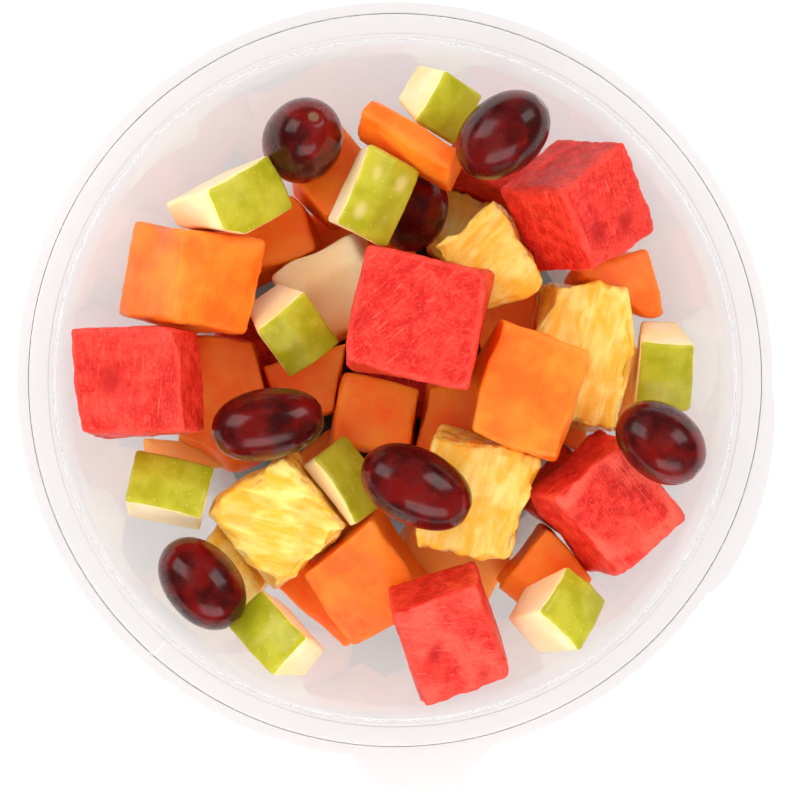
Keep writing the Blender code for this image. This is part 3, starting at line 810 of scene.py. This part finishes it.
def grape_look():
    """Dark red skin with a faint bloom and the scar of the stalk."""
    look = Look("grape_skin_red")
    broad = look.noise(9.0, 2)
    streaks = look.noise((2.2, 2.2, 9.0), 3, 0.6, 0.4)
    fine = look.noise(0.8, 3, 0.6)
    bloom = look.noise(5.0, 3, 0.6)
    tone = look.mix(look.range(broad, 0.38, 0.66), linear(56, 7, 6), linear(118, 10, 6))
    tone = look.mix(look.range(look.random, 0.0, 1.0, 0.0, 0.4, False), tone, linear(44, 8, 8))
    tone = look.mix(look.range(streaks, 0.55, 0.8, 0.0, 0.5), tone, linear(124, 18, 12))
    tone = look.mix(look.range(fine, 0.58, 0.80, 0.0, 0.22), tone, linear(150, 62, 54))
    tone = look.mix(look.range(look.mark("hollow"), 0.2, 0.9), tone, linear(120, 84, 60))
    look.colour(tone)
    look.roughness(look.range(bloom, 0.35, 0.7, 0.16, 0.34))
    look.normal(look.bump(broad, 0.3, 0.25))
    look.flesh(0.2, (1.0, 0.12, 0.08), 2.0)
    look.set(Specular_IOR_Level=0.3, Coat_Weight=0.25, Coat_Roughness=0.14)
    return look.material


def clear_plastic():
    """Clear thin plastic that lets most light through its shadow."""
    look = Look("clear_plastic")
    look.set(Roughness=0.03, IOR=1.34, Transmission_Weight=0.96)
    look.shader.inputs["Base Color"].default_value = (0.870, 0.850, 0.850, 1.0)
    path = look.node("ShaderNodeLightPath")
    clear = look.node("ShaderNodeBsdfTransparent")
    clear.inputs["Color"].default_value = (0.97, 0.96, 0.955, 1.0)
    both = look.node("ShaderNodeMixShader")
    look.link(path.outputs["Is Shadow Ray"], both.inputs[0])
    look.link(look.shader.outputs[0], both.inputs[1])
    look.link(clear.outputs[0], both.inputs[2])
    look.link(both.outputs[0], look.tree.nodes["Material Output"].inputs["Surface"])
    return look.material


# ------------------------------------------------------------------ the tub

def rounded(points, radius, steps):
    """A path of (radius, height) corners with each inner corner rounded off."""
    path = [points[0]]
    for before, here, after in zip(points, points[1:], points[2:]):
        arm_in = np.array(before) - here
        arm_out = np.array(after) - here
        cut = min(radius, 0.45 * np.linalg.norm(arm_in), 0.45 * np.linalg.norm(arm_out))
        start = np.array(here) + arm_in / np.linalg.norm(arm_in) * cut
        end = np.array(here) + arm_out / np.linalg.norm(arm_out) * cut
        for step in range(steps + 1):
            share = step / steps
            bend = 2 * share * (1 - share) * np.array(here)
            path.append((1 - share) ** 2 * start + bend + share ** 2 * end)
    path.append(points[-1])
    return [np.array(point, float) for point in path]


def tub_path():
    """The inside of the tub from the flange's edge to the middle of its floor, in mm."""
    top, low = RIM_HEIGHT, RIM_HEIGHT - FLANGE_DROP
    rim = [
        (FLANGE_INNER_RADIUS, low),
        (LAND_OUTER_RADIUS + STEP_WIDTH, low),
        (LAND_OUTER_RADIUS, top),
        (LAND_INNER_RADIUS, top),
        (LAND_INNER_RADIUS - GROOVE_SIDE, top - GROOVE_DEPTH),
        (BEAD_RADIUS + BEAD_HALF_FOOT, top - GROOVE_DEPTH),
        (BEAD_RADIUS + BEAD_HALF_TOP, top + 0.5 * BEAD_HEIGHT),
        (BEAD_RADIUS, top + BEAD_HEIGHT),
        (BEAD_RADIUS - BEAD_HALF_TOP, top + 0.5 * BEAD_HEIGHT),
        (WALL_TOP_RADIUS, top - MOUTH_DROP),
    ]
    lean = math.radians(WALL_LEAN)
    foot_height = FLOOR_THICKNESS + FOOT_CORNER_RADIUS * (1 - math.sin(lean))
    foot_radius = WALL_TOP_RADIUS - (RIM_HEIGHT - foot_height) * math.tan(lean)
    centre = foot_radius - FOOT_CORNER_RADIUS * math.cos(lean)
    flange = [np.array([radius, low]) for radius in
              np.linspace(FLANGE_RADIUS, FLANGE_INNER_RADIUS, FLANGE_RINGS + 1)[:-1]]
    path = flange + rounded(rim, RIM_CORNER_RADIUS, RIM_CORNER_STEPS)[:-1]
    wall_top = np.array(rim[-1])
    wall_foot = np.array([foot_radius, foot_height])
    path += [wall_top + (wall_foot - wall_top) * step / WALL_STEPS for step in range(WALL_STEPS)]
    for step in range(FOOT_STEPS + 1):
        angle = lean + (math.pi / 2 - lean) * step / FOOT_STEPS
        path.append(np.array([centre + FOOT_CORNER_RADIUS * math.cos(angle),
                              FLOOR_THICKNESS + FOOT_CORNER_RADIUS * (1 - math.sin(angle))]))
    for share in FLOOR_RINGS:
        path.append(np.array([centre * share, FLOOR_THICKNESS]))
    return np.array(path)


def outer_reach(azimuth):
    """How far the flange stands out beyond its plain radius at an azimuth in degrees."""
    reach = 0.0
    off = math.radians((azimuth - TAB_AZIMUTH + 180) % 360 - 180)
    half_base, half_tip = TAB_BASE_WIDTH / 2, TAB_TIP_WIDTH / 2
    if abs(off) < math.asin(half_base / FLANGE_RADIUS):
        base_x = math.sqrt(FLANGE_RADIUS ** 2 - half_base ** 2)
        tip_x = FLANGE_RADIUS + TAB_REACH
        slope = (tip_x - base_x) / (half_base - half_tip)
        across = math.tan(abs(off))
        side = (base_x + slope * half_base) / (1 + slope * across) / math.cos(off)
        tip = tip_x / math.cos(off)
        soft = TAB_CORNER_SOFTNESS
        reach = -soft * math.log(math.exp(-(side - FLANGE_RADIUS) / soft)
                                 + math.exp(-(tip - FLANGE_RADIUS) / soft))
        reach = max(reach, 0.0)
    share = (azimuth - LOBE_START) / (LOBE_END - LOBE_START)
    if 0 < share < 1:
        reach = max(reach, LOBE_REACH * math.sin(math.pi * share ** 0.6) ** 0.6)
    return reach


def tub_azimuths():
    """Azimuths round the tub, closer together at the tab, the lobe's start and the score line."""
    values = list(np.arange(-180, 180, PLAIN_TURN))
    values += list(np.arange(TAB_AZIMUTH - 12, TAB_AZIMUTH + 12, TAB_TURN))
    values += list(np.arange(LOBE_START - 1, LOBE_START + 8, LOBE_TURN))
    values += list(np.arange(SCORE_AZIMUTH - 0.8, SCORE_AZIMUTH + 0.9, SCORE_TURN))
    kept = []
    for value in sorted(values):
        if not kept or value - kept[-1] > LEAST_TURN:
            kept.append(float(value))
    return kept


def tub_sides():
    """The tub's inside and outside paths, a wall's thickness apart."""
    inside = tub_path()
    tangent = np.gradient(inside, axis=0)
    outward = np.stack([-tangent[:, 1], tangent[:, 0]], 1)
    outward /= np.linalg.norm(outward, axis=1)[:, None]
    if outward[0, 1] > 0:
        outward = -outward
    thickness = np.interp(inside[:, 0], [WALL_TOP_RADIUS, LAND_OUTER_RADIUS],
                          [SHELL, RIM_SHELL])
    floor_rings = len(FLOOR_RINGS) + 1
    thickness[-(floor_rings + FOOT_STEPS + 2):] = FLOOR_THICKNESS
    outside = inside + outward * thickness[:, None]
    outside[-floor_rings:, 1] = 0.0
    return inside, outside


def tub_points(sides, azimuths):
    """Points of the shell: at each azimuth the inside path, then the outside one."""
    points = []
    for azimuth in azimuths:
        turn = math.radians(azimuth)
        reach = outer_reach(azimuth)
        notch = SCORE_DEPTH * math.exp(-((azimuth - SCORE_AZIMUTH) / SCORE_HALF_WIDTH) ** 2)
        for side in sides:
            for radius, height in side:
                share = (radius - FLANGE_INNER_RADIUS) / (FLANGE_RADIUS - FLANGE_INNER_RADIUS)
                if BEAD_RADIUS + BEAD_HALF_FOOT < radius < LAND_OUTER_RADIUS + STEP_WIDTH + 0.1:
                    height -= notch
                radius = radius + reach * np.clip(share, 0, 1)
                points.append((radius * math.cos(turn), radius * math.sin(turn), height))
    return points


def tub_faces(steps, count):
    """Faces of the shell, for paths of a number of steps at a number of azimuths."""
    faces = []
    for column in range(count):
        here, there = column * 2 * steps, (column + 1) % count * 2 * steps
        for row in range(steps - 1):
            faces.append((here + row, there + row, there + row + 1, here + row + 1))
            below, beside = here + steps + row, there + steps + row
            faces.append((below + 1, beside + 1, beside, below))
        faces.append((here, here + steps, there + steps, there))
    faces.append([column * 2 * steps + steps - 1 for column in range(count)])
    faces.append([column * 2 * steps + 2 * steps - 1 for column in reversed(range(count))])
    return faces


def tub_piece(material):
    """The tub as one thin closed shell, with its tab, lobe, groove and bead."""
    sides = tub_sides()
    azimuths = tub_azimuths()
    points = tub_points(sides, azimuths)
    faces = tub_faces(len(sides[0]), len(azimuths))
    mesh = bpy.data.meshes.new("tub_fine")
    mesh.from_pydata((np.array(points) * MM).tolist(), [], faces)
    form = bmesh.new()
    form.from_mesh(mesh)
    bmesh.ops.recalc_face_normals(form, faces=form.faces)
    if form.calc_volume(signed=True) < 0:
        bmesh.ops.reverse_faces(form, faces=form.faces)
    form.to_mesh(mesh)
    form.free()
    mesh.polygons.foreach_set("use_smooth", np.ones(len(mesh.polygons), bool))
    mesh.set_sharp_from_angle(angle=math.radians(SHARP_ANGLE))
    mesh.materials.append(material)
    tub = bpy.data.objects.new("tub_fine", mesh)
    bpy.context.scene.collection.objects.link(tub)
    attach(tub, "root")
    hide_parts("tub")


# ------------------------------------------------------------------ studio

def soft_box(name, place, width, height, power):
    lamp = bpy.data.lights.new(name, "AREA")
    lamp.shape = "RECTANGLE"
    lamp.size, lamp.size_y = width, height
    lamp.energy = power
    holder = bpy.data.objects.new(name, lamp)
    bpy.context.scene.collection.objects.link(holder)
    holder.location = place
    holder.rotation_euler = (Vector(BOX_AIM) - Vector(place)).to_track_quat("-Z", "Y").to_euler()


def sky():
    """A white sky that lights everything but hardly shows in mirrored rays."""
    world = bpy.data.worlds.new("studio")
    bpy.context.scene.world = world
    world.use_nodes = True
    nodes, links = world.node_tree.nodes, world.node_tree.links
    background = nodes["Background"]
    background.inputs["Color"].default_value = (1.0, 1.0, 1.0, 1.0)
    path = nodes.new("ShaderNodeLightPath")
    opaque = nodes.new("ShaderNodeMath")
    opaque.operation = "SUBTRACT"
    opaque.inputs[0].default_value = 1.0
    links.new(path.outputs["Is Transmission Ray"], opaque.inputs[1])
    mirrored = nodes.new("ShaderNodeMath")
    mirrored.operation = "MULTIPLY"
    links.new(path.outputs["Is Glossy Ray"], mirrored.inputs[0])
    links.new(opaque.outputs[0], mirrored.inputs[1])
    dim = nodes.new("ShaderNodeMapRange")
    dim.inputs["To Min"].default_value = SKY_STRENGTH
    dim.inputs["To Max"].default_value = SKY_IN_REFLECTIONS
    links.new(mirrored.outputs[0], dim.inputs["Value"])
    links.new(dim.outputs[0], background.inputs["Strength"])


def pale_floor():
    half = FLOOR_HALF_WIDTH
    corners = [(-half, -half, 0), (half, -half, 0), (half, half, 0), (-half, half, 0)]
    mesh = bpy.data.meshes.new("floor")
    mesh.from_pydata(corners, [], [(0, 1, 2, 3)])
    floor = bpy.data.objects.new("floor", mesh)
    bpy.context.scene.collection.objects.link(floor)
    white = bpy.data.materials.new("floor_white")
    white.use_nodes = True
    shader = white.node_tree.nodes["Principled BSDF"]
    shader.inputs["Base Color"].default_value = (FLOOR_TONE, FLOOR_TONE, FLOOR_TONE, 1.0)
    shader.inputs["Roughness"].default_value = 0.9
    mesh.materials.append(white)


def camera_from_above():
    """A camera straight above the tub, whose view is VIEW_WIDTH wide at the rim."""
    scene = bpy.context.scene
    eye = bpy.data.cameras.new("eye")
    camera = bpy.data.objects.new("eye", eye)
    scene.collection.objects.link(camera)
    eye.sensor_width = SENSOR_WIDTH
    eye.lens = SENSOR_WIDTH * CAMERA_DISTANCE / VIEW_WIDTH
    eye.clip_start = 0.01
    camera.location = (*CAMERA_CENTRE, RIM_HEIGHT * MM + CAMERA_DISTANCE)
    scene.camera = camera


def studio():
    bpy.context.scene.view_settings.view_transform = "Standard"
    sky()
    for box in SOFT_BOXES:
        soft_box(*box)
    pale_floor()
    camera_from_above()


# ------------------------------------------------------------------ all together

def main():
    materials = {
        "watermelon": watermelon_look(),
        "cantaloupe": cantaloupe_look(),
        "honeydew": honeydew_look(),
        "pineapple": pineapple_look(),
        "apple": apple_look(),
        "grape": grape_look(),
    }
    tub_piece(clear_plastic())
    fruit = [name for name in sorted(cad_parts) if name != "tub"]
    for index, name in enumerate(fruit):
        fruit_piece(name, FIRST_SEED + SEED_STEP * index, materials)
    studio()


main()
